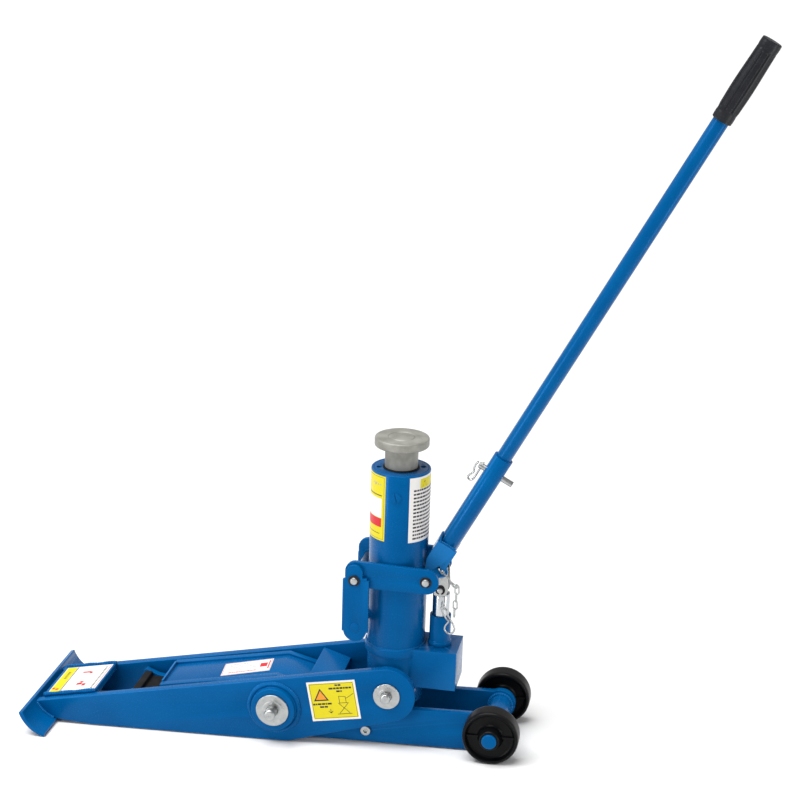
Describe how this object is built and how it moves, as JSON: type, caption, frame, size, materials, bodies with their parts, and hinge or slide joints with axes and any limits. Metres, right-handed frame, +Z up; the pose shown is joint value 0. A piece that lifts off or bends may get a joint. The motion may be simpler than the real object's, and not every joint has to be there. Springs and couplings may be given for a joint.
{
  "type": "forklift jack",
  "caption": "Low scissor jack on wheels with a rocker toe, an upright hydraulic unit with a hand pump, and a long pump handle with a black grip.",
  "frame": {"origin": "centre of the bounding box's footprint, on the floor", "axes": "+Z up, +X from the rocker toe to the wheels, +Y to the side with the release valve"},
  "size_m": [0.9738, 0.2024, 0.9456],
  "materials": {
    "blue_enamel": "glossy blue enamel on steel",
    "zinc_plate": "bright zinc plate",
    "honed_steel": "honed",
    "chrome_rod": "ground and chromed",
    "wheel_nylon": "moulded, satin",
    "black_rubber": "moulded rubber",
    "grip_plastic": "moulded, fluted",
    "black_oxide": "black oxide spring steel",
    "saddle_paint": "stone grey paint",
    "label_film": "printed film"
  },
  "bodies": {
    "axle": {"axle": "blue_enamel", "axle_washers": "zinc_plate"},
    "wheel_near": {"wheel_near": "wheel_nylon"},
    "wheel_far": {"wheel_far": "wheel_nylon"},
    "base_frame": {"base_plate_near": "blue_enamel", "base_plate_far": "blue_enamel", "cover_panel": "blue_enamel", "axle_sleeve": "blue_enamel", "pivot_sleeve": "blue_enamel", "load_bar": "blue_enamel", "load_pad": "black_rubber", "foot_cheeks": "blue_enamel", "ram_foot_pin": "zinc_plate", "cheek_screws": "zinc_plate"},
    "lift_arms": {"arm_near": "blue_enamel", "arm_far": "blue_enamel", "pivot_bosses": "blue_enamel", "pivot_pin": "zinc_plate", "pivot_washers": "zinc_plate", "toe_rocker": "blue_enamel", "toe_bridge": "blue_enamel", "brace_plate": "blue_enamel"},
    "hydraulic_unit": {"pump_block": "blue_enamel", "trunnion_pins": "zinc_plate", "trunnion_washers": "zinc_plate", "base_flange": "blue_enamel", "tank_tube": "blue_enamel", "working_cylinder": "honed_steel", "gland_nut": "honed_steel", "top_nut": "blue_enamel", "wiper_ring": "black_rubber", "saddle": "saddle_paint", "filler_plug": "blue_enamel", "yoke_near": "blue_enamel", "yoke_far": "blue_enamel", "front_pin": "zinc_plate", "fulcrum_pin": "zinc_plate", "pin_circlips": "black_oxide", "pump_barrel": "blue_enamel"},
    "ram": {"ram": "chrome_rod", "piston_seal": "black_rubber"},
    "release_valve": {"release_valve": "zinc_plate"},
    "bail": {"bail_near": "blue_enamel", "bail_far": "blue_enamel", "bail_bar": "blue_enamel"},
    "plunger": {"plunger": "chrome_rod", "plunger_pin": "zinc_plate", "plunger_links": "zinc_plate", "plunger_circlips": "black_oxide"},
    "handle": {"handle_bracket": "blue_enamel", "crank_pin": "zinc_plate", "handle_socket": "blue_enamel", "lock_pin": "zinc_plate", "lock_clip": "zinc_plate", "handle_rod": "blue_enamel", "handle_grip": "grip_plastic"},
    "keeper": {"keeper_ring": "zinc_plate", "keeper_chain": "zinc_plate", "keeper_clip": "zinc_plate"}
  },
  "joints": [
    {"name": "wheel_near_spin", "type": "hinge", "parent": "axle", "child": "wheel_near", "pos_m": [0.15666, -0.06, 0.0375], "axis": [0, 1, 0], "continuous": true},
    {"name": "wheel_far_spin", "type": "hinge", "parent": "axle", "child": "wheel_far", "pos_m": [0.15666, 0.06, 0.0375], "axis": [0, 1, 0], "continuous": true},
    {"name": "lift", "type": "hinge", "parent": "axle", "child": "base_frame", "pos_m": [0.15666, 0, 0.0375], "axis": [0, 1, 0], "range_deg": [0, 45]},
    {"name": "scissor", "type": "hinge", "parent": "base_frame", "child": "lift_arms", "pos_m": [-0.13864, 0, 0.051], "axis": [0, 1, 0], "range_deg": [-88.39, 0]},
    {"name": "trunnion", "type": "hinge", "parent": "lift_arms", "child": "hydraulic_unit", "pos_m": [0.01596, 0, 0.0798], "axis": [0, 1, 0], "range_deg": [0, 44.44]},
    {"name": "ram_foot", "type": "hinge", "parent": "base_frame", "child": "ram", "pos_m": [0.0133, 0, 0.01042], "axis": [0, 1, 0], "range_deg": [-44.44, 0]},
    {"name": "pump_stroke", "type": "hinge", "parent": "hydraulic_unit", "child": "handle", "pos_m": [0.06742, 0, 0.24174], "axis": [0, 1, 0], "range_deg": [-9, 45]},
    {"name": "plunger_slide", "type": "slide", "parent": "hydraulic_unit", "child": "plunger", "axis": [0.0384, 0, 0.9993], "range_m": [-0.0142, 0.0049]},
    {"name": "keeper_swing", "type": "hinge", "parent": "handle", "child": "keeper", "pos_m": [0.08017, -0.022, 0.25166], "axis": [0, 1, 0], "range_deg": [-45.5, 15.5]},
    {"name": "bail_swing", "type": "hinge", "parent": "hydraulic_unit", "child": "bail", "pos_m": [-0.02681, 0, 0.24008], "axis": [0, 1, 0], "range_deg": [0, 175]},
    {"name": "release_turn", "type": "hinge", "parent": "hydraulic_unit", "child": "release_valve", "pos_m": [0.06915, 0.04, 0.10978], "axis": [0, 1, 0], "range_deg": [0, 90]}
  ],
  "couplings": [
    {"joint": "scissor", "follows": "lift", "ratio": -1.953},
    {"joint": "trunnion", "follows": "lift", "ratio": 0.9765},
    {"joint": "ram_foot", "follows": "lift", "ratio": -0.9765},
    {"joint": "plunger_slide", "follows": "pump_stroke", "m_per_rad": -0.0176},
    {"joint": "keeper_swing", "follows": "pump_stroke", "ratio": -1}
  ]
}
